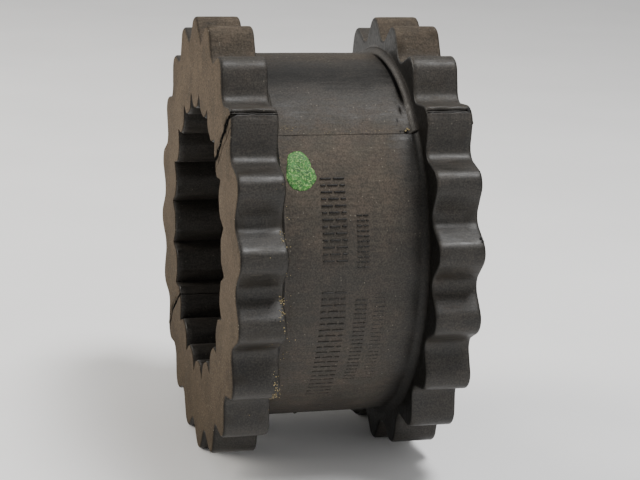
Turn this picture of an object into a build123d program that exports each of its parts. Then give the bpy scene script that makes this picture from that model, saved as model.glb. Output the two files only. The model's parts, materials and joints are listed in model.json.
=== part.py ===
"""Two-piece toothed sleeve of a flexible sleeve coupling, moulded in black rubber.

Frame: X runs along the coupling's axis, from the near end (-X) to the far end (+X).
+Z is up and the origin is the middle of the sleeve. The sleeve stands on two lobes.
The two half sleeves meet on a plane through the axis, tilted 45 degrees, which cuts
two opposite lobes of each toothed ring down the middle.
"""
from build123d import *
from math import acos, atan2, cos, hypot, radians, sin
import os

# ---- driving dimensions, mm and degrees ----
TIP_RADIUS = 44.5          # over the lobe tips
VALLEY_RADIUS = 40.2       # at the bottom of the valleys between lobes
LENGTH = 47.0              # end face to end face
LOBE_COUNT = 20            # lobes round each toothed ring
RING_WIDTH = 9.2           # axial width of each toothed ring
BODY_RADIUS = 37.2         # plain tube between the two rings
COVE = 1.2                 # sloping cove in the corner of tube and ring

TIP_ROUND = 3.2            # rounding of a lobe tip, seen from the end
VALLEY_ROUND = 2.6         # rounding of a valley, seen from the end
EDGE_ROUND = 0.6           # rounding along the outer edges of each ring

CUSP_RADIUS = 29.2         # sharp notches between the scallops of the bore
SCALLOP_RADIUS = 26.0      # innermost line of each scallop's rounded crown
CROWN_EDGE = 26.5          # radius at which the crown gives way to straight flanks
CROWN_ANGLE = 5.0          # half the angle that the crown takes up
SCALLOP_DEPTH = 10.4       # how far the scallops run in from each end
CHAMBER_RADIUS = 29.6      # plain round bore between the scalloped ends

PARTING_ANGLE = 45.0       # the parting plane's tilt, up from the front
PARTING_GAP = 0.3          # clearance between the two half sleeves

PAINT_ANGLE = 33.4         # centre of the paint daub, up from the front
PAINT_X = -9.4             # its place along the axis
PAINT_FILM = 0.14          # thickness of the paint

# ---- worked out from them ----
PITCH = 360 / LOBE_COUNT
FIRST_TIP = PITCH / 2      # so that two tips stand either side of straight down
RING_X = (LENGTH - RING_WIDTH) / 2
GROOVE_HALF = LENGTH / 2 - RING_WIDTH
CHAMBER_LENGTH = LENGTH - 2 * SCALLOP_DEPTH
SAME_POINT = 0.01          # points closer than this are one point

# The lobed outline is tip arcs and valley arcs, joined by straight flanks that touch both.
# FLANK_LEAN is the angle from a tip's own radius to the line square to its flank. The
# corners are where the flanks would meet if they weren't rounded.
HALF_PITCH = radians(PITCH / 2)
TIP_CENTRE = TIP_RADIUS - TIP_ROUND
VALLEY_CENTRE = VALLEY_RADIUS + VALLEY_ROUND
CENTRES_OUT = VALLEY_CENTRE * cos(HALF_PITCH) - TIP_CENTRE
CENTRES_ACROSS = VALLEY_CENTRE * sin(HALF_PITCH)
FLANK_LEAN = atan2(CENTRES_ACROSS, CENTRES_OUT) - acos(
    (TIP_ROUND + VALLEY_ROUND) / hypot(CENTRES_OUT, CENTRES_ACROSS))
TIP_CORNER = TIP_CENTRE + TIP_ROUND / cos(FLANK_LEAN)
VALLEY_CORNER = VALLEY_CENTRE - VALLEY_ROUND / cos(FLANK_LEAN - HALF_PITCH)

# The parting plane's normal points up and back, into the upper half.
PARTING_NORMAL = (0, sin(radians(PARTING_ANGLE)), cos(radians(PARTING_ANGLE)))

# Outline of the paint daub: along the axis, and up round the tube.
DAUB = [(-2.2, 3.4), (0.1, 4.1), (1.2, 3.0), (1.8, 0.8), (2.8, -1.5), (2.1, -2.4),
        (-0.6, -3.9), (-2.0, -3.4), (-2.9, -1.8), (-2.9, 0.0), (-2.6, 1.7)]


def around(radius, angle):
    """A point of the end view, at an angle counted from +Y towards +Z."""
    return (radius * cos(radians(angle)), radius * sin(radians(angle)))


def lobe_corners():
    """Corners of the zigzag that becomes the lobed outline: tip, valley, tip, ..."""
    corners = []
    for lobe in range(LOBE_COUNT):
        tip = FIRST_TIP + lobe * PITCH
        corners.append(around(TIP_CORNER, tip))
        corners.append(around(VALLEY_CORNER, tip + PITCH / 2))
    return corners


# ---- one toothed ring, still solid, with its outer edges rounded ----
with BuildPart() as toothed_ring:
    with BuildSketch(Plane.YZ) as lobed_outline:
        with BuildLine():
            Polyline(*lobe_corners(), close=True)
        make_face()
        tip_corners, valley_corners = [], []
        for corner in lobed_outline.vertices():
            is_tip = corner.center().length > TIP_RADIUS
            (tip_corners if is_tip else valley_corners).append(corner)
        fillet(tip_corners, TIP_ROUND)
        fillet([corner for corner in lobed_outline.vertices()
                if corner.center().length < VALLEY_CORNER + SAME_POINT], VALLEY_ROUND)
    extrude(amount=RING_WIDTH / 2, both=True)
    fillet(toothed_ring.faces().filter_by(Axis.X).edges(), EDGE_ROUND)

# ---- the whole moulding, before it is parted ----
with BuildPart() as moulding:
    # plain tube, with a cove where it meets each ring
    with BuildSketch(Plane.XY):
        with BuildLine():
            Polyline(
                (-GROOVE_HALF, 0),
                (-GROOVE_HALF, BODY_RADIUS + COVE),
                (COVE - GROOVE_HALF, BODY_RADIUS),
                (GROOVE_HALF - COVE, BODY_RADIUS),
                (GROOVE_HALF, BODY_RADIUS + COVE),
                (GROOVE_HALF, 0),
                close=True,
            )
        make_face()
    revolve(axis=Axis.X)
    # a toothed ring at each end
    with Locations((-RING_X, 0, 0), (RING_X, 0, 0)):
        add(toothed_ring.part)
    # plain chamber in the middle of the bore
    Cylinder(CHAMBER_RADIUS, CHAMBER_LENGTH, rotation=(0, 90, 0), mode=Mode.SUBTRACT)
    # scalloped bore, right through: from notch to notch, a flank, a crown and a flank
    with BuildSketch(Plane.YZ):
        with BuildLine():
            for lobe in range(LOBE_COUNT):
                tip = FIRST_TIP + lobe * PITCH
                crown_start = around(CROWN_EDGE, tip - CROWN_ANGLE)
                crown_end = around(CROWN_EDGE, tip + CROWN_ANGLE)
                Line(around(CUSP_RADIUS, tip - PITCH / 2), crown_start)
                ThreePointArc(crown_start, around(SCALLOP_RADIUS, tip), crown_end)
                Line(crown_end, around(CUSP_RADIUS, tip + PITCH / 2))
        make_face()
    extrude(amount=LENGTH, both=True, mode=Mode.SUBTRACT)

parting_plane = Plane(origin=(0, 0, 0), x_dir=(1, 0, 0), z_dir=PARTING_NORMAL)

# ---- the half underneath, which the sleeve stands on ----
with BuildPart() as lower_half_sleeve:
    add(moulding.part)
    split(bisect_by=parting_plane.offset(-PARTING_GAP / 2), keep=Keep.BOTTOM)
lower_half_sleeve.part.label = "lower_half_sleeve"

# ---- the half on top, which lifts off ----
with BuildPart() as upper_half_sleeve:
    add(moulding.part)
    split(bisect_by=parting_plane.offset(PARTING_GAP / 2), keep=Keep.TOP)
upper_half_sleeve.part.label = "upper_half_sleeve"

# ---- the daub of paint on the front of the lower half ----
outward = (0, -cos(radians(PAINT_ANGLE)), sin(radians(PAINT_ANGLE)))
paint_centre = (PAINT_X, BODY_RADIUS * outward[1], BODY_RADIUS * outward[2])
with BuildPart() as paint_mark:
    with BuildSketch(Plane(origin=paint_centre, x_dir=(1, 0, 0), z_dir=outward)):
        with BuildLine():
            Spline(*DAUB, periodic=True)
        make_face()
    extrude(amount=COVE, both=True)
    Cylinder(BODY_RADIUS + PAINT_FILM, LENGTH, rotation=(0, 90, 0), mode=Mode.INTERSECT)
    Cylinder(BODY_RADIUS, LENGTH, rotation=(0, 90, 0), mode=Mode.SUBTRACT)
paint_mark.part.label = "paint_mark"

os.makedirs("parts", exist_ok=True)
export_step(lower_half_sleeve.part, "parts/lower_half_sleeve.step")
export_step(upper_half_sleeve.part, "parts/upper_half_sleeve.step")
export_step(paint_mark.part, "parts/paint_mark.step")
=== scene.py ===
"""Looks of a two-piece toothed sleeve for a flexible coupling, moulded in black rubber.

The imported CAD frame's nodes are replaced by finer meshes: two half sleeves with flash
along their parting edges, raised moulded marks, stray crumbs of rubber and dust, and a
daub of green paint. A place is given along the axis (x, from the near end at -X to the far end
at +X) and round it (an angle in degrees, counted from the front, -Y, up over the top).
Sizes are in metres.
"""

import json
from math import acos, atan2, cos, degrees, hypot, pi, radians, sin

import bmesh
import bpy
import numpy as np
from mathutils import Matrix, Vector, noise


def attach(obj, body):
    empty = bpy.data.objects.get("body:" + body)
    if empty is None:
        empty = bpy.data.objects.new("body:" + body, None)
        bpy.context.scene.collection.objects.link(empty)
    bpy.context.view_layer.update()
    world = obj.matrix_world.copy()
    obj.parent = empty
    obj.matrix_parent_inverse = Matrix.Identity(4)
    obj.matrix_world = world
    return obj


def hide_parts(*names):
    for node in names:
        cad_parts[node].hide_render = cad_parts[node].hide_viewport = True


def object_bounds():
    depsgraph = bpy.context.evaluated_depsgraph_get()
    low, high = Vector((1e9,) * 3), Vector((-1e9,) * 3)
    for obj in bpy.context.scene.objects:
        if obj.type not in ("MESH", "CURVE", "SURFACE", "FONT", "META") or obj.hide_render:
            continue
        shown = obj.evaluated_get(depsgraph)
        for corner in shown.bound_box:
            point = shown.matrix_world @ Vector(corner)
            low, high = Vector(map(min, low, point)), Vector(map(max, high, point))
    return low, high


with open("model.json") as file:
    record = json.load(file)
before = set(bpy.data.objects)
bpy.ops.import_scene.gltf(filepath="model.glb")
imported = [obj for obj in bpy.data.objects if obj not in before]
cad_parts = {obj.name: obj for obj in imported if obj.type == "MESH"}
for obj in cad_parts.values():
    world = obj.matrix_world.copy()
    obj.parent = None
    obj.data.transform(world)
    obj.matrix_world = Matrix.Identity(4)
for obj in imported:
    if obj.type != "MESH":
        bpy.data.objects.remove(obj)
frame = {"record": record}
cad_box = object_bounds()

MM = 0.001

# ---- sizes that the frame gives ----
mounts = {mount["name"]: mount for mount in frame["record"]["mounts"]}
ring_dims = mounts["near_toothed_ring"]["dims"]
HALF_LENGTH = cad_box[1].x
RING_WIDTH = ring_dims["length_mm"] * MM
TIP_RADIUS = ring_dims["r_mm"] * MM
LOBE_COUNT = ring_dims["count"]

# ---- sizes of the moulding, as in the CAD model ----
VALLEY_RADIUS = 40.2 * MM
TIP_ROUND = 3.2 * MM
VALLEY_ROUND = 2.6 * MM
EDGE_ROUND = 0.6 * MM
BODY_RADIUS = 37.2 * MM
COVE = 1.2 * MM
CUSP_RADIUS = 29.2 * MM
SCALLOP_RADIUS = 26.0 * MM
CROWN_EDGE = 26.5 * MM
CROWN_ANGLE = 5.0
SCALLOP_DEPTH = 10.4 * MM
CHAMBER_RADIUS = 29.6 * MM
PARTING_ANGLE = 45.0
PARTING_GAP = 0.3 * MM

PITCH = 360 / LOBE_COUNT
FIRST_TIP = PITCH / 2
GROOVE_HALF = HALF_LENGTH - RING_WIDTH

# ---- sizes of the wear and the flash ----
BORE_EDGE = 0.25 * MM       # wear along the edge of the bore
BORE_TEARS = 0.45 * MM      # how far the bore's torn edge wanders
PARTING_SKIN = 0.3 * MM     # depth of the ragged edge before the flat parting face
PAINT_FILM = 0.14 * MM      # thickness of the paint
PAINT_LIFT = 0.01 * MM      # keeps the thin parts of the paint off the rubber
PAINT_TUCK = 0.12 * MM      # how far the paint's edge dips under the rubber's skin

# ---- spacing and limits of the meshes ----
FINE_SPAN = 2.4             # degrees beside a parting edge that have closer columns
FINE_COLUMNS = 22
COLUMN_PITCH = 0.6          # degrees between the other columns
SHARP_ANGLE = 38            # an edge that turns further is shaded as a sharp one
DAUB_SPOKES = 120
DAUB_RINGS = 16
BOX_MARGIN = 0.01 * MM      # the meshes stay this far inside the CAD model's box
FACE_DIP = 0.08 * MM        # the end faces lie this far back, to leave room for relief
CAP_STEP = 0.01 * MM        # between the two rows that close each parting edge
# BLACK_EDGE is the width of painted black shade beside the parting lines of the near end face.
BLACK_EDGE = 0.20 * MM      # black strip beside the parting lines of the near end face
RUBBER_RELIEF = 0.07 * MM   # depth of the rubber's fine bumps

# ---- colours, linear ----
BARE_RUBBER = (0.011, 0.010, 0.009, 1)
WORN_RUBBER = (0.022, 0.020, 0.017, 1)
# DEEP_BLACK is also the colour of painted shade.
DEEP_BLACK = (0.004, 0.004, 0.004, 1)
DUST_GREY = (0.062, 0.054, 0.043, 1)
DUST_BROWN = (0.075, 0.060, 0.047, 1)
DUST_TAN = (0.084, 0.066, 0.048, 1)
STAIN_BROWN = (0.015, 0.011, 0.006, 1)
PALE_SPECK = (0.215, 0.195, 0.155, 1)
PAINT_DEEP = (0.008, 0.070, 0.005, 1)
PAINT_GREEN = (0.034, 0.185, 0.018, 1)
PAINT_LIGHT = (0.210, 0.370, 0.110, 1)
CRUMB_DULL = (0.150, 0.110, 0.045, 1)
CRUMB_PALE = (0.360, 0.290, 0.150, 1)
CRUMB_BLACK = (0.004, 0.004, 0.004, 1)
CRUMB_GREY = (0.016, 0.015, 0.014, 1)
FLOOR_LOW = (0.90, 0.90, 0.90, 1)
FLOOR_HIGH = (0.93, 0.93, 0.93, 1)

# ---- camera, sky and floor ----
LENS = 93.9
SENSOR_WIDTH = 36.0
CAMERA_PLACE = (-0.08312, -0.32542, 0.09091)
CAMERA_RIGHT = (0.968766, -0.245051, 0.037986)
CAMERA_UP = (0.029652, 0.266556, 0.963362)
SKY_STRENGTH = 0.48
FLOOR_SIZE = 4.0


# ---------------------------------------------------------------- shared arithmetic

def on_sleeve(x, radius, angle):
    """Points from places along the axis, radii and angles in degrees."""
    turn = np.radians(angle)
    return np.stack(np.broadcast_arrays(x, -radius * np.cos(turn), radius * np.sin(turn)), -1)


def mix(low, high, share):
    """From low at share 0 to high at share 1."""
    return low + (high - low) * share


def smooth_step(value, start, end):
    """0 before start, 1 after end, and a smooth rise between them."""
    share = np.clip((value - start) / (end - start), 0, 1)
    return share * share * (3 - 2 * share)


def hump(value, centre, width):
    """A bell curve of height 1."""
    return np.exp(-((value - centre) / width) ** 2)


def lumps(places, size, seed=0):
    """Smooth noise between about -1 and 1, with lumps of that size."""
    shifted = np.asarray(places) / size + 31.7 * seed
    values = [noise.noise(Vector(place)) for place in shifted.reshape(-1, 3)]
    return np.array(values).reshape(shifted.shape[:-1])


def facing_up(angle):
    """1 on top of the sleeve, and 0 on its sides and underneath."""
    return smooth_step(np.sin(np.radians(angle)), 0.91, 0.985)


def inside_box(places):
    """The places, kept just inside the box that the CAD model gives."""
    low, high = np.array(cad_box)
    return np.clip(places, low + BOX_MARGIN, high - BOX_MARGIN)


# ---------------------------------------------------------------- outline of the moulding

HALF_PITCH = radians(PITCH / 2)
TIP_CENTRE = TIP_RADIUS - TIP_ROUND
VALLEY_CENTRE = VALLEY_RADIUS + VALLEY_ROUND
CENTRES_OUT = VALLEY_CENTRE * cos(HALF_PITCH) - TIP_CENTRE
CENTRES_ACROSS = VALLEY_CENTRE * sin(HALF_PITCH)
FLANK_LEAN = atan2(CENTRES_ACROSS, CENTRES_OUT) - acos(
    (TIP_ROUND + VALLEY_ROUND) / hypot(CENTRES_OUT, CENTRES_ACROSS))


def from_tip(angle):
    """Angle from the nearest lobe tip, in radians, from 0 to half a pitch."""
    return np.radians(np.abs((angle - FIRST_TIP + PITCH / 2) % PITCH - PITCH / 2))


def lobes(inset=0.0):
    """Rule for the radius of the lobed outline, moved inwards by inset."""
    tip_round = TIP_ROUND - inset
    valley_round = VALLEY_ROUND + inset
    flank_reach = TIP_CENTRE * cos(FLANK_LEAN) + tip_round
    tip_end = atan2(tip_round * sin(FLANK_LEAN), TIP_CENTRE + tip_round * cos(FLANK_LEAN))
    valley_lean = FLANK_LEAN - HALF_PITCH
    valley_start = HALF_PITCH - atan2(valley_round * sin(valley_lean),
                                      VALLEY_CENTRE - valley_round * cos(valley_lean))

    def radius(angle):
        turn = from_tip(angle)
        back = HALF_PITCH - turn
        tip = TIP_CENTRE * np.cos(turn) + np.sqrt(
            np.maximum(tip_round ** 2 - (TIP_CENTRE * np.sin(turn)) ** 2, 0))
        valley = VALLEY_CENTRE * np.cos(back) - np.sqrt(
            np.maximum(valley_round ** 2 - (VALLEY_CENTRE * np.sin(back)) ** 2, 0))
        flank = flank_reach / np.cos(turn - FLANK_LEAN)
        return np.where(turn < tip_end, tip, np.where(turn < valley_start, flank, valley))
    return radius


def scallops(flare=0.0):
    """Rule for the radius of the scalloped bore, opened out by flare."""
    crown = radians(CROWN_ANGLE)
    across = CROWN_EDGE * sin(crown)
    along = CROWN_EDGE * cos(crown) - SCALLOP_RADIUS
    crown_round = (along ** 2 + across ** 2) / (2 * along)
    centre = SCALLOP_RADIUS + crown_round

    def radius(angle):
        turn = from_tip(angle)
        arc = centre * np.cos(turn) - np.sqrt(
            np.maximum(crown_round ** 2 - (centre * np.sin(turn)) ** 2, 0))
        flank = CROWN_EDGE * CUSP_RADIUS * sin(HALF_PITCH - crown) / (
            CROWN_EDGE * np.sin(turn - crown) + CUSP_RADIUS * np.sin(HALF_PITCH - turn))
        return np.where(turn < crown, arc, flank) + flare
    return radius


def torn(rule, seed):
    """The same rule with small tears that wander in and out, more so near the front
    parting line."""
    def radius(angle):
        places = on_sleeve(0.0, CUSP_RADIUS, angle)
        tears = lumps(places, 1.6 * MM, seed) + 0.6 * lumps(places, 0.6 * MM, seed)
        from_line = (angle - PARTING_ANGLE + 180) % 360 - 180
        share = 0.3 + 0.7 * hump(from_line, -10, 30)
        return rule(angle) + BORE_TEARS * share * np.clip(tears, -0.3, 1)
    return radius


def round_at(size):
    """Rule for a plain round surface."""
    return lambda angle: np.full(np.shape(angle), size)


def between(start, end, count):
    """Rows from one (x, radius rule) towards another, without the last one."""
    rows = []
    for step in range(count):
        share = step / count
        rows.append((mix(start[0], end[0], share),
                     lambda angle, s=share: mix(start[1](angle), end[1](angle), s)))
    return rows


def rounded_edge(face_x, inwards, count):
    """Rows round a ring's outer edge, from the end face to the top of the lobes."""
    rows = []
    for step in range(count):
        turn = radians(90 * step / count)
        rows.append((face_x + inwards * EDGE_ROUND * (1 - cos(turn)),
                     lobes(EDGE_ROUND * (1 - sin(turn)))))
    return rows


def corner_bead(swell, count):
    """Rows of the band that fills the corner of ring and tube, from the ring."""
    rows = []
    for step in range(count):
        share = step / count
        height = COVE * (1 - share + swell * sin(share * pi))
        rows.append((-GROOVE_HALF + COVE * share, round_at(BODY_RADIUS + height)))
    return rows


def half_section(swell):
    """Rows of the section from the middle of the bore, round the near ring, to the middle
    of the tube. The other half of the section is its mirror image."""
    face = -HALF_LENGTH
    inside = SCALLOP_DEPTH - HALF_LENGTH
    rows = between((0, round_at(CHAMBER_RADIUS)), (inside, round_at(CHAMBER_RADIUS)), 6)
    rows += between((inside, round_at(CHAMBER_RADIUS)), (inside, scallops()), 3)
    brink = (face + 2 * BORE_EDGE, scallops())
    rim = (face, torn(scallops(BORE_EDGE), 17))
    rows += between((inside, scallops()), brink, 9)
    rows += between(brink, rim, 3)
    rows += between(rim, (face, lobes(EDGE_ROUND)), 26)
    rows += rounded_edge(face, 1, 5)
    rows += between((face + EDGE_ROUND, lobes()), (-GROOVE_HALF - EDGE_ROUND, lobes()), 18)
    rows += rounded_edge(-GROOVE_HALF, -1, 5)[::-1]
    foot = (-GROOVE_HALF, round_at(BODY_RADIUS + COVE))
    rows += between((-GROOVE_HALF, lobes(EDGE_ROUND)), foot, 9)[1:]
    rows += corner_bead(swell, 6)
    rows += between((COVE - GROOVE_HALF, round_at(BODY_RADIUS)), (0, round_at(BODY_RADIUS)), 36)
    return rows


def whole_section(swell):
    """Rows all round the section, as a closed loop that starts inside the bore."""
    near = half_section(swell)
    far = [(-row_x, rule) for row_x, rule in reversed(near)]
    return near + [(0, round_at(BODY_RADIUS))] + far[:-1]


# ---------------------------------------------------------------- parting edges

# The line that the parting edges follow across the near end face: radius, and how far
# it strays from the parting plane, in mm.
FACE_SPLIT = [(25.8, 1.3), (27.5, 0.95), (29.3, 0.72), (32.3, 0.56), (36.2, 0.74),
              (38.0, 0.38), (40.8, 0.36), (43.0, 0.05), (44.5, -0.3)]
# Where that split gapes: radius, and half the width, in mm.
FACE_GAPES = [(26.4, 0.40), (30.3, 0.45), (34.0, 0.16), (39.4, 0.55), (41.6, 0.22)]
# The same line at the other side of the bore.
BACK_SPLIT = [(27.0, -0.2), (31.0, -1.0), (36.0, -1.7), (42.0, -1.2), (44.5, -0.2)]
# Brown stains on the near end face: radius, length, angle, width, in mm and degrees.
FACE_STAINS = [(36.5, 2.2, 221.3, 0.7), (31.5, 0.9, 221.8, 0.5), (41.0, 1.0, 221.4, 0.5),
               (40.6, 1.0, 107.7, 0.8), (42.2, 0.9, 91.5, 0.4), (40.2, 0.8, 89.5, 0.4)]
# Place of a large lump of rubber under the tube: along the axis, and round it.
NUB_PLACE = (9.3 * MM, -72.5)


def near_face_share(x):
    """1 on the near end face, fading out over about 2 mm behind it."""
    return np.exp(-(x + HALF_LENGTH) / (1.0 * MM))


def stray(x, radius, front):
    """How far the surface's parting line strays sideways from the parting plane."""
    places = on_sleeve(x, radius, 0.0 if front else 90.0)
    waves = 0.12 * MM * lumps(places, 2.3 * MM, 1) + 0.06 * MM * lumps(places, 0.7 * MM, 2)
    waves = np.where(np.abs(x) < GROOVE_HALF, 0.5, 1.5) * waves
    at, sideways = zip(*(FACE_SPLIT if front else BACK_SPLIT))
    split = np.interp(radius / MM, at, sideways) * MM
    jags = 0.22 * MM * lumps(places, 1.1 * MM, 3) + 0.12 * MM * lumps(places, 0.45 * MM, 18)
    return waves + near_face_share(x) * (split + jags)


def half_gap(x, radius, front):
    """Half the width of the parting line at the surface."""
    places = on_sleeve(x, radius, 10.0 if front else 80.0)
    rough = np.abs(lumps(places, 1.3 * MM, 4))
    on_ring = smooth_step(np.abs(x), GROOVE_HALF, GROOVE_HALF + 0.5 * MM)
    gap = (0.012 + 0.03 * rough + (0.05 + 0.08 * rough) * on_ring) * MM
    face = near_face_share(x)
    gap = gap + face * (0.05 + 0.14 * rough) * MM
    if front:
        gap = gap + face * (0.10 + 0.20 * rough) * MM
        gap = gap + 0.025 * MM * smooth_step(-x, 7 * MM, 10 * MM)
        for at, width in FACE_GAPES:
            gap = gap + width * MM * hump(radius / MM, at, 0.8) * face
    return gap


def column_shares():
    """Places of the columns from one parting edge (0) to the other (1), closer together
    near both."""
    fine = (np.arange(FINE_COLUMNS) / FINE_COLUMNS) ** 1.15 * FINE_SPAN
    middle = np.arange(FINE_SPAN, 180 - FINE_SPAN / 2, COLUMN_PITCH)
    spread = np.concatenate([fine, middle, 180 - fine[::-1]])
    return spread / 180


# ---------------------------------------------------------------- relief of the surface

def unevenness(places):
    """Height of the lumps and the grain that every moulded surface has."""
    return (0.050 * MM * lumps(places, 9 * MM, 5) + 0.026 * MM * lumps(places, 2.4 * MM, 6)
            + 0.012 * MM * lumps(places, 0.8 * MM, 7))


def flash_on_lobes(places, ring_top, from_edge, upper):
    """A ridge and a groove beside the parting line over the lobes of the upper half, and a low
    lip on the lower half.
    """
    waver = 1 + 0.6 * lumps(places, 1.7 * MM, 8)
    if upper:
        ridge = 0.24 * hump(from_edge, 1.05 * MM, 0.38 * MM)
        groove = 0.36 * hump(from_edge, 0.46 * MM, 0.17 * MM)
        return ring_top * MM * (ridge - groove) * waver
    lip = 0.12 * hump(from_edge, 0.10 * MM, 0.35 * MM)
    return ring_top * MM * lip * waver


def flash_on_tube(places, x, tube, from_edge):
    """A low rough lip along the tube's parting line, rougher towards the far ring."""
    rough = smooth_step(x, -9 * MM, 4 * MM)
    lip = (0.02 + 0.09 * rough) * hump(from_edge, 0.25 * MM, 0.3 * MM)
    pits = 0.22 * rough * np.maximum(lumps(places, 0.7 * MM, 9), 0) * hump(from_edge, 0, 0.5 * MM)
    return tube * MM * (lip - pits)


def spot(x, radius, angle, at_x, at_angle, width):
    """A round bump of height 1 at a place on the surface."""
    across = np.radians(angle - at_angle) * radius
    return np.exp(-((x - at_x) ** 2 + across ** 2) / width ** 2)


def upper_marks(places, x, radius, angle, tube):
    """Scars and creases of the upper half, beside the far ring."""
    bead_foot = GROOVE_HALF - COVE - 0.15 * MM
    along_bead = smooth_step(angle, 54, 60) * (1 - smooth_step(angle, 88, 96))
    crease = -0.26 * MM * hump(x, bead_foot, 0.26 * MM) * along_bead
    slant = x - np.radians(55 - angle) * 4 * MM
    scratch = -0.20 * MM * hump(slant, 11.9 * MM, 0.20 * MM) * hump(angle, 54.5, 3)
    slant = x + np.radians(50 - angle) * 9 * MM
    second = -0.15 * MM * hump(slant, 10.9 * MM, 0.18 * MM) * hump(angle, 49.5, 2)
    streaks = lumps(places * np.array([1, 0.25, 0.25]), 0.45 * MM, 10)
    scar = 0.16 * MM * streaks * hump(x, 10.4 * MM, 0.9 * MM) * hump(angle, 84, 3)
    chip = -0.35 * MM * spot(x, radius, angle, 12.2 * MM, 45.6, 0.45 * MM)
    return tube * (crease + scratch + second + scar + chip)


def lower_marks(x, radius, angle, tube):
    """Stray lumps of rubber that stand out under the tube of the lower half."""
    nub = 1.15 * MM * spot(x, radius, angle, *NUB_PLACE, 0.95 * MM)
    small = 0.45 * MM * spot(x, radius, angle, -3.9 * MM, -74.0, 0.55 * MM)
    tiny = 0.25 * MM * spot(x, radius, angle, 0.6 * MM, -75.0, 0.5 * MM)
    return tube * (nub + small + tiny)


# ---------------------------------------------------------------- meshes

# Finish of the skin inside the parting slot, painted black as the slot's shade, and of the flat
# parting faces behind it.
IN_SLOT = {"dust": 1, "tan": 0, "stain": 0, "bare": 1}
ON_PARTING_FACE = {"dust": 0.34, "tan": 0, "stain": 0.1, "bare": 0.1}


def new_object(name, mesh, material, body):
    """Puts a mesh in the scene as a piece that rides on a body."""
    piece = bpy.data.objects.new(name, mesh)
    bpy.context.scene.collection.objects.link(piece)
    mesh.materials.append(material)
    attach(piece, body)
    return piece


def paint_values(mesh, **values):
    """Stores one number per vertex under each name, for the material to read."""
    for name, numbers in values.items():
        attribute = mesh.attributes.new(name, "FLOAT", "POINT")
        attribute.data.foreach_set("value", np.asarray(numbers, np.float32).ravel())


def surface_normals(places):
    """Outward normals of a grid of places whose rows run round the section."""
    down = np.roll(places, -1, 0) - np.roll(places, 1, 0)
    across = np.gradient(places, axis=1)
    normals = np.cross(down, across)
    return normals / np.maximum(np.linalg.norm(normals, axis=-1, keepdims=True), 1e-12)


def half_sleeve(name, body, upper, swell, material):
    """One half sleeve: the section's rows, swept from one parting edge to the other."""
    rows = whole_section(swell)
    shares = column_shares()
    x = np.array([[row_x] for row_x, _ in rows])
    first, last = (PARTING_ANGLE, PARTING_ANGLE + 180) if upper else (
        PARTING_ANGLE - 180, PARTING_ANGLE)
    plain = mix(first, last, shares)
    angle = np.broadcast_to(plain, (len(rows), len(shares)))
    for _ in range(3):
        radius = np.array([rule(line) for (_, rule), line in zip(rows, angle)])
        angle = plain
        for column, edge, side in ((0, first, 1), (-1, last, -1)):
            front = (column == 0) == upper
            at_x, at_radius = x[:, 0], radius[:, column]
            sideways = stray(at_x, at_radius, front) + side * half_gap(at_x, at_radius, front)
            fading = 1 - smooth_step(np.abs(plain - edge), 0, PITCH / 2)
            angle = angle + np.degrees(sideways / at_radius)[:, None] * fading
    zones = Zones(x, radius)

    base = on_sleeve(x, radius, angle)
    front_column = 0 if upper else -1
    from_edge = np.abs(np.radians(angle - angle[:, [front_column]])) * radius
    back_edge = np.abs(np.radians(angle - angle[:, [-1 - front_column]])) * radius
    if upper:
        scars = upper_marks(base, x, radius, angle, zones.open_tube)
    else:
        scars = lower_marks(x, radius, angle, zones.open_tube)
    height = unevenness(base) + scars
    height += flash_on_lobes(base, zones.lobe_top, from_edge, upper)
    height += flash_on_lobes(base, zones.lobe_top, back_edge, upper)
    height += flash_on_tube(base, x, zones.open_tube, from_edge) if upper else 0
    height -= zones.near_ends * FACE_DIP
    places = inside_box(base + surface_normals(base) * height[..., None])

    # Behind each ragged parting edge the skin turns in to the flat parting face. A second
    #     row just inside the first keeps the slot's painted black shade off that face.
    caps = []
    for column, edge, side in ((0, first, 1), (-1, last, -1)):
        section = np.stack([x[:, 0], radius[:, column]], -1)
        run = np.roll(section, -1, 0) - np.roll(section, 1, 0)
        run /= np.linalg.norm(run, axis=-1, keepdims=True)
        for depth in (PARTING_SKIN, PARTING_SKIN + CAP_STEP):
            inside = section + depth * np.stack([run[:, 1], -run[:, 0]], -1)
            off_plane = side * np.degrees(PARTING_GAP / 2 / inside[:, 1])
            caps.append(on_sleeve(inside[:, 0], inside[:, 1], edge + off_plane)[:, None])
    places = np.concatenate([caps[1], caps[0], places, caps[2], caps[3]], 1)

    mesh = grid_mesh(name, places)
    grids = {"dust": dust_on(base, x, angle, from_edge, zones, upper),
             "tan": tan_on(angle, zones),
             "stain": stain_on(base, radius, angle, from_edge, zones, upper),
             "bare": bare_rubber(x, radius, angle, from_edge, scars, zones, upper)}
    nearest_edge = np.minimum(from_edge, back_edge)
    # Painted shade: black beside the parting lines of the near end face.
    grids["bare"] = grids["bare"] + zones.near_face * hump(nearest_edge, 0, BLACK_EDGE)
    for values in (IN_SLOT, ON_PARTING_FACE):
        for key, value in values.items():
            grids[key] = np.pad(np.clip(grids[key], 0, 1), ((0, 0), (1, 1)),
                                constant_values=value)
    paint_values(mesh, **grids)
    return new_object(name, mesh, material, body)


def grid_mesh(name, places):
    """A mesh from a grid whose rows close into a ring, with a flat face at each end."""
    rows, columns = places.shape[:2]
    index = np.arange(rows * columns).reshape(rows, columns)
    below = np.roll(index, -1, 0)
    quads = np.stack([index[:, :-1], below[:, :-1], below[:, 1:], index[:, 1:]], -1)
    faces = quads.reshape(-1, 4).tolist()
    faces += [index[::-1, 0].tolist(), index[:, -1].tolist()]
    mesh = bpy.data.meshes.new(name)
    mesh.from_pydata(places.reshape(-1, 3).tolist(), [], faces)
    mesh.shade_smooth()
    mesh.set_sharp_from_angle(angle=radians(SHARP_ANGLE))
    return mesh


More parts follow.
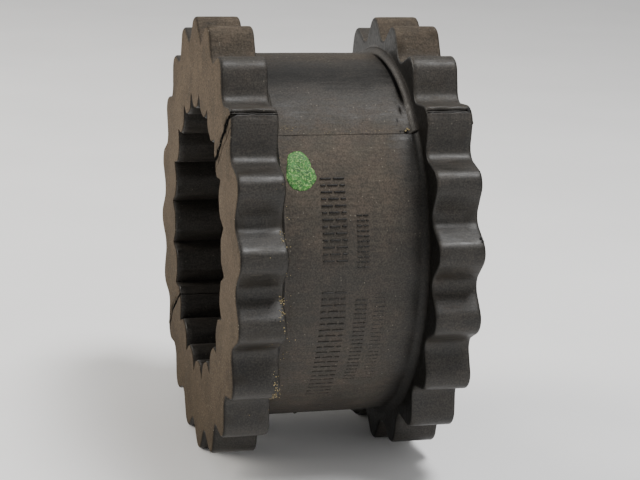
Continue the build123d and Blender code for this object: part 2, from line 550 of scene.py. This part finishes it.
class Zones:
    """Masks, from 0 to 1, of the kinds of surface that a half sleeve has."""

    def __init__(self, x, radius):
        outer = radius > BODY_RADIUS - 0.1 * MM
        self.near_face = smooth_step(-x, HALF_LENGTH - 0.30 * MM, HALF_LENGTH - 0.05 * MM)
        self.far_face = smooth_step(x, HALF_LENGTH - 0.30 * MM, HALF_LENGTH - 0.05 * MM)
        sides = 1 - self.near_face - self.far_face
        self.bore = (1 - outer) * sides
        self.ring = outer * sides * smooth_step(np.abs(x), GROOVE_HALF, GROOVE_HALF + 0.3 * MM)
        groove = outer * sides - self.ring
        self.tube = groove * (radius < BODY_RADIUS + 0.1 * MM)
        self.wall = groove * (radius > BODY_RADIUS + COVE + 0.02 * MM)
        self.corner = groove - self.tube - self.wall
        self.rim = outer * hump(np.abs(x), HALF_LENGTH - 0.30 * MM, 0.20 * MM)
        # These fade out towards the edges of their surfaces, so that relief does too.
        self.open_tube = outer * smooth_step(GROOVE_HALF - np.abs(x), 0, 0.4 * MM)
        self.near_ends = smooth_step(np.abs(x), HALF_LENGTH - 0.6 * MM, HALF_LENGTH - 0.1 * MM)
        self.lobe_top = (radius > VALLEY_RADIUS - 0.5 * MM) * (1 - self.near_ends) * smooth_step(
            np.abs(x) - GROOVE_HALF, 0.1 * MM, 0.7 * MM)


def dust_on(places, x, angle, from_edge, zones, upper):
    """How dusty the rubber is, with painted light in it. Dust lies on what faces up and on the
    end faces. On the tube more dust paints a highlight band round the front parting line, and
    less dust paints shade in a band high on the upper tube, at the front, underneath, near the
    far ring, and in the groove's corner and on its walls.
    """
    blotches = lumps(places, 5 * MM, 11)
    streaky = lumps(places * np.array([0.3, 1, 1]), 1.6 * MM, 19)
    on_top = facing_up(angle)
    if upper:
        # Painted highlight along the front parting line, painted shade in a band at about 71
        # degrees, near the far ring, in the corner and on the walls.
        tube = 0.48 - 0.42 * hump(angle, 71, 11) + 0.36 * hump(from_edge, 0, 3.5 * MM)
        tube = tube * (1 - 0.4 * smooth_step(x, 9 * MM, 13 * MM))
        corner, wall = 0.24, 0.06 * on_top
    else:
        # Painted highlight in a band at about 37 degrees; painted shade at the front, underneath,
        # near the far ring, in the corner and on the walls.
        tube = 0.54 + 0.40 * hump(angle, 37, 16) - 0.16 * hump(angle, 0, 9)
        tube = tube - 0.10 * smooth_step(-angle, 45, 75)
        tube = tube * (1 - 0.8 * smooth_step(x, 6 * MM, 13 * MM))
        corner, wall = 0.06, 0.0
    dust = 0.92 * zones.near_face + 0.85 * zones.far_face
    dust = dust + tube * zones.tube + corner * zones.corner + wall * zones.wall
    upwards = smooth_step(np.sin(np.radians(angle)), 0.5, 0.85)
    dust = dust + (0.14 + 0.16 * upwards + 0.60 * on_top) * zones.ring
    dust = dust + 0.24 * zones.bore
    return dust + (1 - zones.bore) * (0.12 * blotches + 0.08 * streaky)


def tan_on(angle, zones):
    """How tan the dust is: most on the end faces, less on top and at the front."""
    tube = 0.30 * hump(angle, 30, 16) + 0.5 * hump(angle, 88, 9)
    ring = 0.7 * facing_up(angle)
    return zones.near_face + zones.far_face + ring * zones.ring + tube * zones.tube


def stain_on(places, radius, angle, from_edge, zones, upper):
    """How far brown stains cover the rubber: on the lobes and round the torn places. The near
    end face is also made browner and darker towards the bottom."""
    stain = zones.ring * smooth_step(lumps(places, 3.5 * MM, 12), 0.25, 0.6) * 0.5
    gapes = sum(hump(radius / MM, at, 1.2) for at, _ in FACE_GAPES)
    stain = stain + zones.near_face * np.minimum(gapes, 1) * hump(from_edge, 0, 0.8 * MM)
    low_down = smooth_step(-places[..., 2], -12 * MM, 36 * MM)
    stain = stain + zones.near_face * 0.33 * low_down
    if not upper:
        return stain
    torn_spots = 0
    for at_radius, long, at_angle, wide in FACE_STAINS:
        across = np.radians(angle - at_angle) * radius
        torn_spots = torn_spots + hump(radius, at_radius * MM, long * MM) * hump(
            across, 0, wide * MM)
    return stain + zones.near_face * torn_spots * (0.9 + lumps(places, MM, 20))


def bare_rubber(x, radius, angle, from_edge, scars, zones, upper):
    """How black the rubber is painted. Nearly all of it is painted shade: on the walls of the
    groove, in the corner and on the tube beside the far ring, along the rims of the end faces,
    along the parting lines and in the flash groove beside them, in the dents of the relief, on
    the lump under the tube and in a band high on the upper tube. The bore is made somewhat
    darker too."""
    # Painted shade on the groove walls and along the rims of the end faces; the bore is made
    # somewhat darker.
    bare = 0.30 * zones.bore + 0.60 * zones.rim + 0.62 * zones.wall
    # Painted shade along the parting lines and in the dents of the relief.
    bare = bare + 0.30 * zones.tube * hump(from_edge, 0, 0.10 * MM)
    bare = bare + 0.8 * smooth_step(-scars, 0.02 * MM, 0.14 * MM)
    bare = bare + 0.6 * zones.ring * hump(from_edge, 0, 0.14 * MM)
    if upper:
        # Painted shade in a band high on the upper tube, and in the flash groove beside the
        # parting line.
        bare = bare + 0.35 * zones.tube * hump(angle, 72, 10)
        return bare + 0.8 * zones.ring * hump(from_edge, 0.46 * MM, 0.20 * MM)
    # Painted shade in the corner, on the tube beside the far ring, and on the lump under the
    # tube.
    bare = bare + 0.45 * (zones.corner + zones.tube * smooth_step(x, 9.5 * MM, 13 * MM))
    nub = spot(x, radius, angle, *NUB_PLACE, 1.3 * MM)
    return bare + zones.tube * nub


# ---------------------------------------------------------------- moulded marks

def raised_bar(mesh, x, angle, length, width, height, base):
    """Adds a low bar with rounded edges that lies along the axis on the tube."""
    made = bmesh.ops.create_cube(mesh, size=1)["verts"]
    for vert in made:
        vert.co = Vector((vert.co.x * length, vert.co.y * width, vert.co.z * height * 2))
    edges = list({edge for vert in made for edge in vert.link_edges})
    bevelled = bmesh.ops.bevel(mesh, geom=edges, offset=width * 0.3, segments=3,
                               profile=0.5, affect="EDGES")
    corners = {vert for face in bevelled["faces"] for vert in face.verts}
    corners |= {vert for vert in made if vert.is_valid}
    for vert in corners:
        along, across, up = vert.co
        place = on_sleeve(x + along, base + up, angle + degrees(across / base))
        vert.co = Vector(place)


# Two ways to break a bar, as shares of the strip's width. They alternate, as in brickwork.
BROKEN_ONCE = [(0.0, 0.46), (0.54, 1.0)]
BROKEN_TWICE = [(0.0, 0.21), (0.29, 0.71), (0.79, 1.0)]


def mark_row(name, material, x_low, x_high, spans, bar_width, height):
    """A strip of plain broken bars round the tube, laid like bricks, more worn away
    towards the bottom. A span is its first and last angle and its number of bars. The bars
    are painted darker than the tube, more so towards the top: partly cleaner rubber, partly
    painted shade of the strokes."""
    mesh = bmesh.new()
    full = x_high - x_low
    for start, stop, bars in spans:
        for bar in range(bars):
            angle = mix(start, stop, bar / (bars - 1))
            worn = mix(1.0, 0.55, smooth_step(-angle, 0, 35))
            for low, high in (BROKEN_TWICE if bar % 2 else BROKEN_ONCE):
                raised_bar(mesh, x_low + (low + high) / 2 * full, angle, (high - low) * full,
                           bar_width, height * worn, BODY_RADIUS)
    data = bpy.data.meshes.new(name)
    mesh.to_mesh(data)
    mesh.free()
    data.shade_smooth()
    data.set_sharp_from_angle(angle=radians(SHARP_ANGLE))
    places = np.array([vert.co for vert in data.vertices])
    # Cleaner rubber and painted shade of the strokes: the bars get darker and less dusty towards
    # the top.
    darker_towards_top = smooth_step(places[:, 2], -20 * MM, 12 * MM)
    patchy = 0.8 + 0.5 * lumps(places, 0.9 * MM, 22)
    none = np.zeros(len(places))
    paint_values(data, dust=0.36 - 0.28 * darker_towards_top, tan=none, stain=none,
                 bare=(0.12 + 0.42 * darker_towards_top) * np.clip(patchy, 0.4, 1))
    return new_object(name, data, material, "lower_half")


# ---------------------------------------------------------------- crumbs and paint

def crumbs(name, material, body, clusters):
    """Crumbs of cured rubber and dust that cling to a half sleeve. A cluster has its
    place along the axis and round it, its spread along and round, the radius it lies at,
    a number of crumbs and their size."""
    chance = np.random.default_rng(len(name) + len(clusters))
    mesh = bmesh.new()
    for x, angle, spread_x, spread_angle, rule, count, size in clusters:
        for _ in range(count):
            at_x = x + chance.normal() * spread_x
            at_angle = angle + chance.normal() * spread_angle
            width = size * chance.uniform(0.5, 1.3)
            at_radius = float(rule(np.float64(at_angle))) + 0.2 * width
            centre = Vector(on_sleeve(at_x, at_radius, at_angle))
            made = bmesh.ops.create_icosphere(mesh, subdivisions=2, radius=width,
                                              matrix=Matrix.Translation(centre))
            for vert in made["verts"]:
                lump = noise.noise(vert.co / (0.9 * width))
                grown = centre + (vert.co - centre) * (1 + 0.55 * lump)
                vert.co = Vector(inside_box(np.array(grown)))
    data = bpy.data.meshes.new(name)
    mesh.to_mesh(data)
    mesh.free()
    data.shade_smooth()
    return new_object(name, data, material, body)


def paint_daub(name, material, outline, centre_x, centre_angle):
    """A thin lumpy film of paint on the tube, with its edge under the rubber's skin."""
    turns = np.linspace(0, 2 * np.pi, DAUB_SPOKES, endpoint=False)
    corner_turns = np.arctan2([y for _, y in outline], [x for x, _ in outline])
    reaches = np.hypot(*np.array(outline).T)
    order = np.argsort(corner_turns)
    reach = np.interp(turns, corner_turns[order], reaches[order], period=2 * np.pi)
    ring = np.stack([np.cos(turns), np.sin(turns), 0 * turns], -1)
    reach = reach * (1 + 0.035 * lumps(ring, 0.35, 13) + 0.03 * lumps(ring, 0.1, 14))
    shares = np.append(np.linspace(0, 1, DAUB_RINGS + 1)[1:], 1.0)
    across = shares[:, None] * reach * np.cos(turns) * MM
    around = shares[:, None] * reach * np.sin(turns) * MM
    flat = np.stack([across, around, 0 * across], -1)
    film = PAINT_FILM * (1 - shares[:, None] ** 8)
    film = film * (0.75 + 0.5 * lumps(flat, 0.9 * MM, 15) + 0.35 * lumps(flat, 0.35 * MM, 16))
    film = film + PAINT_LIFT
    film[-1] = -PAINT_TUCK
    angle = centre_angle + np.degrees(around / BODY_RADIUS)
    places = on_sleeve(centre_x + across, BODY_RADIUS + film, angle)
    middle = on_sleeve(centre_x, BODY_RADIUS + PAINT_FILM * 0.8, centre_angle)
    points = [middle.tolist()] + places.reshape(-1, 3).tolist()
    index = 1 + np.arange(places.shape[0] * DAUB_SPOKES).reshape(-1, DAUB_SPOKES)
    beside = np.roll(index, -1, 1)
    faces = [[0, a, b] for a, b in zip(index[0].tolist(), beside[0].tolist())]
    quads = np.stack([index[:-1], index[1:], beside[1:], beside[:-1]], -1)
    faces += quads.reshape(-1, 4).tolist()
    faces.append(index[-1][::-1].tolist())
    mesh = bpy.data.meshes.new(name)
    mesh.from_pydata(points, [], faces)
    mesh.shade_smooth()
    return new_object(name, mesh, material, "lower_half")


# ---------------------------------------------------------------- materials

class Finish:
    """A material and its node tree, built one node at a time."""

    def __init__(self, name):
        self.material = bpy.data.materials.new(name)
        self.material.use_nodes = True
        self.tree = self.material.node_tree
        self.tree.nodes.clear()
        self.place = self.add("ShaderNodeTexCoord").outputs["Object"]

    def add(self, kind, inputs=None, **settings):
        """A new node. Its inputs are sockets to link, or values to set."""
        node = self.tree.nodes.new(kind)
        for key, value in settings.items():
            setattr(node, key, value)
        for key, value in (inputs or {}).items():
            if isinstance(value, bpy.types.NodeSocket):
                self.tree.links.new(value, node.inputs[key])
            else:
                node.inputs[key].default_value = value
        return node

    def value(self, name):
        """A number stored on the mesh."""
        return self.add("ShaderNodeAttribute", attribute_name=name).outputs["Fac"]

    def noise(self, size, detail=2.0, roughness=0.5, stretch=1):
        """Noise from 0 to 1, with lumps of that size, drawn out along the axis."""
        inputs = {0: self.place, 1: (1 / stretch, 1, 1)}
        place = self.add("ShaderNodeVectorMath", inputs, operation="MULTIPLY")
        inputs = {"Vector": place.outputs["Vector"], "Scale": 1 / size, "Detail": detail,
                  "Roughness": roughness}
        return self.add("ShaderNodeTexNoise", inputs).outputs["Fac"]

    def math(self, operation, first, second=0.0):
        """One sum or product of two numbers."""
        inputs = {0: first, 1: second}
        return self.add("ShaderNodeMath", inputs, operation=operation).outputs[0]

    def scale(self, color, factor):
        """The colour, made darker or lighter by a factor."""
        inputs = {"Vector": color, "Scale": factor}
        return self.add("ShaderNodeVectorMath", inputs, operation="SCALE").outputs["Vector"]

    def remap(self, value, low, high, new_low=0.0, new_high=1.0):
        """The range from low to high, stretched to another and held inside it."""
        inputs = {"Value": value, "From Min": low, "From Max": high,
                  "To Min": new_low, "To Max": new_high}
        return self.add("ShaderNodeMapRange", inputs, clamp=True).outputs["Result"]

    def blend(self, share, first, second):
        """One colour at share 0 and the other at 1."""
        node = self.add("ShaderNodeMix", data_type="RGBA")
        for socket, value in zip((node.inputs[0], node.inputs[6], node.inputs[7]),
                                 (share, first, second)):
            if isinstance(value, bpy.types.NodeSocket):
                self.tree.links.new(value, socket)
            else:
                socket.default_value = value
        return node.outputs[2]

    def specks(self, spacing, radius, kept):
        """1 inside small round specks, of which that share is kept."""
        cells = self.add("ShaderNodeTexVoronoi", {"Vector": self.place, "Scale": 1 / spacing})
        inside = self.remap(cells.outputs["Distance"], radius * 0.6, radius * 1.2, 1.0, 0.0)
        red = self.add("ShaderNodeSeparateColor", {"Color": cells.outputs["Color"]})
        chosen = self.math("LESS_THAN", red.outputs[0], kept)
        return self.math("MULTIPLY", inside, chosen)

    def surface(self, color, roughness, height, depth, **others):
        """Joins everything to the shader. Its other inputs are numbers or sockets."""
        bump = self.add("ShaderNodeBump", {"Height": height, "Distance": depth,
                                           "Strength": 1.0})
        inputs = {"Base Color": color, "Roughness": roughness,
                  "Normal": bump.outputs["Normal"]}
        inputs.update({key.replace("_", " "): value for key, value in others.items()})
        shader = self.add("ShaderNodeBsdfPrincipled", inputs)
        self.add("ShaderNodeOutputMaterial", {"Surface": shader.outputs["BSDF"]})
        return self.material


def rubber():
    """Black rubber under mottled dust, tan in places, with pale and dark specks. The stored
    numbers also carry painted light: more dust paints a lighter highlight, and the black share
    paints shade.
    """
    finish = Finish("moulded_rubber")
    dust = finish.value("dust")
    broad = finish.noise(7 * MM, 4.0, 0.55)
    mottle = finish.noise(3.0 * MM, 3.0, 0.5)
    fine = finish.noise(0.9 * MM, 4.0, 0.6)
    grain = finish.noise(0.32 * MM, 2.0)
    streaks = finish.noise(0.7 * MM, 3.0, 0.6, stretch=7)
    cloudy = finish.math("MULTIPLY", dust, finish.remap(broad, 0.3, 0.7, 0.75, 1.2))
    dusty = finish.math("MULTIPLY", cloudy, finish.remap(fine, 0.3, 0.7, 0.78, 1.22))
    clean = finish.blend(finish.remap(grain, 0.35, 0.65), BARE_RUBBER, WORN_RUBBER)
    tint = finish.blend(finish.remap(mottle, 0.38, 0.62), DUST_GREY, DUST_BROWN)
    tint = finish.blend(finish.value("tan"), tint, DUST_TAN)
    color = finish.blend(dusty, clean, tint)
    color = finish.scale(color, finish.remap(grain, 0.34, 0.66, 0.74, 1.26))
    color = finish.scale(color, finish.remap(streaks, 0.35, 0.65, 0.84, 1.16))
    color = finish.blend(finish.value("stain"), color, STAIN_BROWN)
    # Painted shade: the black share blends towards deep black.
    color = finish.blend(finish.value("bare"), color, DEEP_BLACK)
    some_dust = finish.remap(dust, 0.1, 0.4)
    pale = finish.math("MULTIPLY", finish.specks(0.9 * MM, 0.14, 0.25), some_dust)
    color = finish.blend(finish.math("MULTIPLY", pale, 0.6), color, PALE_SPECK)
    dark = finish.specks(1.3 * MM, 0.12, 0.22)
    color = finish.blend(finish.math("MULTIPLY", dark, 0.6), color, DEEP_BLACK)
    roughness = finish.math("ADD", finish.remap(dusty, 0, 0.8, 0.38, 0.80),
                            finish.remap(streaks, 0.3, 0.7, -0.09, 0.09))
    relief = finish.math("ADD", finish.math("MULTIPLY", grain, 0.4), fine)
    height = finish.math("MULTIPLY", relief, finish.remap(dust, 0.1, 0.5, 0.35, 1.0))
    shine = finish.math("MULTIPLY", finish.remap(finish.value("tan"), 0, 1, 0.32, 0.02),
                        finish.remap(finish.value("bare"), 0.2, 0.9, 1.0, 0.0))
    return finish.surface(color, roughness, height, RUBBER_RELIEF, Specular_IOR_Level=shine)


def crumb_dust(name, low, high):
    """Dull crumbs, between two colours."""
    finish = Finish(name)
    tone = finish.noise(0.25 * MM, 2.0)
    color = finish.blend(finish.remap(tone, 0.35, 0.65), low, high)
    roughness = finish.remap(tone, 0.3, 0.7, 0.6, 0.9)
    return finish.surface(color, roughness, tone, 0.03 * MM)


def green_paint():
    """Chalky green marking paint, mottled where it dried over dust."""
    finish = Finish("green_paint")
    patches = finish.noise(0.9 * MM, 4.0, 0.7)
    flecks = finish.noise(0.36 * MM, 3.0, 0.6)
    color = finish.blend(finish.remap(patches, 0.40, 0.60), PAINT_DEEP, PAINT_GREEN)
    color = finish.blend(finish.remap(flecks, 0.50, 0.62), color, PAINT_LIGHT)
    color = finish.blend(finish.specks(0.6 * MM, 0.16, 0.3), color, PAINT_DEEP)
    roughness = finish.remap(flecks, 0.3, 0.7, 0.45, 0.75)
    return finish.surface(color, roughness, flecks, 0.10 * MM)


def floor_finish():
    """A plain pale floor."""
    finish = Finish("pale_floor")
    tone = finish.noise(60 * MM, 3.0)
    color = finish.blend(finish.remap(tone, 0.3, 0.7), FLOOR_LOW, FLOOR_HIGH)
    return finish.surface(color, finish.remap(tone, 0.3, 0.7, 0.75, 0.85), tone, 0.02 * MM)


# ---------------------------------------------------------------- the pieces

rubber_finish = rubber()
lower = half_sleeve("lower_half_sleeve_moulding", "lower_half", False, -0.18, rubber_finish)
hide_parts("lower_half_sleeve")
upper = half_sleeve("upper_half_sleeve_moulding", "upper_half", True, 0.22, rubber_finish)
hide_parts("upper_half_sleeve")

mark_row("moulded_marks_wide", rubber_finish, -6.15 * MM, -1.4 * MM,
         [(31.0, 7.0, 13), (-2.4, -43.0, 21)], 0.33 * MM, 0.24 * MM)
mark_row("moulded_marks_middle", rubber_finish, 0.5 * MM, 2.8 * MM,
         [(20.0, 5.0, 11), (-5.0, -35.0, 21)], 0.26 * MM, 0.17 * MM)
mark_row("moulded_marks_fine", rubber_finish, 4.2 * MM, 6.3 * MM,
         [(-3.0, -35.0, 23)], 0.22 * MM, 0.09 * MM)

# Outline of the paint daub, in mm: along the axis, and up round the tube.
DAUB = [(-2.2, 3.4), (0.1, 4.1), (1.2, 3.0), (1.8, 0.8), (2.8, -1.5), (2.1, -2.4),
        (-0.6, -3.9), (-2.0, -3.4), (-2.9, -1.8), (-2.9, 0.0), (-2.6, 1.7)]
daub = paint_daub("green_paint_daub", green_paint(), DAUB, -9.4 * MM, 33.4)
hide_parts("paint_mark")

pale_crumbs = crumb_dust("pale_crumbs", CRUMB_DULL, CRUMB_PALE)
dark_crumbs = crumb_dust("dark_crumbs", CRUMB_BLACK, CRUMB_GREY)
on_tube = round_at(BODY_RADIUS)
crumbs("pale_crumbs_lower", pale_crumbs, "lower_half", [
    (-14.9 * MM, 14.5, 0.25 * MM, 1.0, lobes(), 14, 0.12 * MM),
    (-14.9 * MM, -3.5, 0.30 * MM, 1.8, lobes(), 30, 0.11 * MM),
    (-15.1 * MM, -26.0, 0.40 * MM, 2.8, lobes(), 46, 0.11 * MM),
    (-15.3 * MM, -4.0, 1.6 * MM, 22.0, lobes(), 30, 0.08 * MM),
    (-12.8 * MM, -8.0, 0.40 * MM, 16.0, on_tube, 24, 0.09 * MM),
])
crumbs("pale_crumbs_upper", pale_crumbs, "upper_half", [
    (12.4 * MM, 46.4, 0.25 * MM, 0.3, on_tube, 5, 0.14 * MM),
    (-11.0 * MM, 47.5, 1.6 * MM, 1.0, on_tube, 22, 0.07 * MM),
    (2.0 * MM, 45.7, 6.0 * MM, 0.3, on_tube, 26, 0.06 * MM),
    (21.5 * MM, 46.4, 0.9 * MM, 0.3, lobes(), 9, 0.11 * MM),
])
crumbs("dark_crumbs_upper", dark_crumbs, "upper_half", [
    (11.4 * MM, 45.9, 0.5 * MM, 0.2, on_tube, 6, 0.18 * MM),
    (6.0 * MM, 45.5, 3.5 * MM, 0.25, on_tube, 16, 0.10 * MM),
    (22.6 * MM, 45.8, 0.1 * MM, 0.3, lobes(), 3, 0.3 * MM),
])
crumbs("dark_crumbs_lower", dark_crumbs, "lower_half", [
    (22.9 * MM, 12.4, 0.1 * MM, 0.5, lobes(), 4, 0.3 * MM),
    (-18.0 * MM, -1.0, 2.0 * MM, 4.0, lobes(), 8, 0.12 * MM),
])

# ---------------------------------------------------------------- stage, lights, camera

floor_mesh = bpy.data.meshes.new("floor")
floor_shape = bmesh.new()
bmesh.ops.create_grid(floor_shape, x_segments=8, y_segments=8, size=FLOOR_SIZE)
floor_shape.to_mesh(floor_mesh)
floor_shape.free()
floor = bpy.data.objects.new("floor", floor_mesh)
floor.location.z = cad_box[0].z
bpy.context.scene.collection.objects.link(floor)
floor_mesh.materials.append(floor_finish())

world = bpy.data.worlds.new("studio")
world.use_nodes = True
sky = world.node_tree.nodes["Background"]
sky.inputs["Color"].default_value = (1.0, 1.0, 1.0, 1)
sky.inputs["Strength"].default_value = SKY_STRENGTH
bpy.context.scene.world = world


def softbox(name, place, aim, width, height, power, color=(1, 1, 1)):
    """A rectangular area light that faces aim."""
    light = bpy.data.lights.new(name, "AREA")
    light.shape = "RECTANGLE"
    light.size = width
    light.size_y = height
    light.energy = power
    light.color = color
    lamp = bpy.data.objects.new(name, light)
    lamp.location = place
    lamp.rotation_euler = (Vector(aim) - Vector(place)).to_track_quat("-Z", "Y").to_euler()
    bpy.context.scene.collection.objects.link(lamp)


middle = (0, 0, 0)
softbox("left_softbox", (-0.70, 0.35, 0.28), middle, 0.5, 0.6, 8.0, (1, 0.95, 0.87))
softbox("top_softbox", (0.16, -0.12, 0.58), middle, 0.26, 0.16, 3.9)
softbox("front_fill", (0.30, -0.90, 0.20), middle, 0.7, 0.6, 1.2)

camera_data = bpy.data.cameras.new("camera")
camera_data.lens = LENS
camera_data.sensor_width = SENSOR_WIDTH
camera_data.clip_start = 0.01
camera = bpy.data.objects.new("camera", camera_data)
camera_back = Vector(CAMERA_RIGHT).cross(Vector(CAMERA_UP))
camera.matrix_world = Matrix.Translation(CAMERA_PLACE) @ Matrix(
    (CAMERA_RIGHT, CAMERA_UP, camera_back)).transposed().to_4x4()
bpy.context.scene.collection.objects.link(camera)
bpy.context.scene.camera = camera
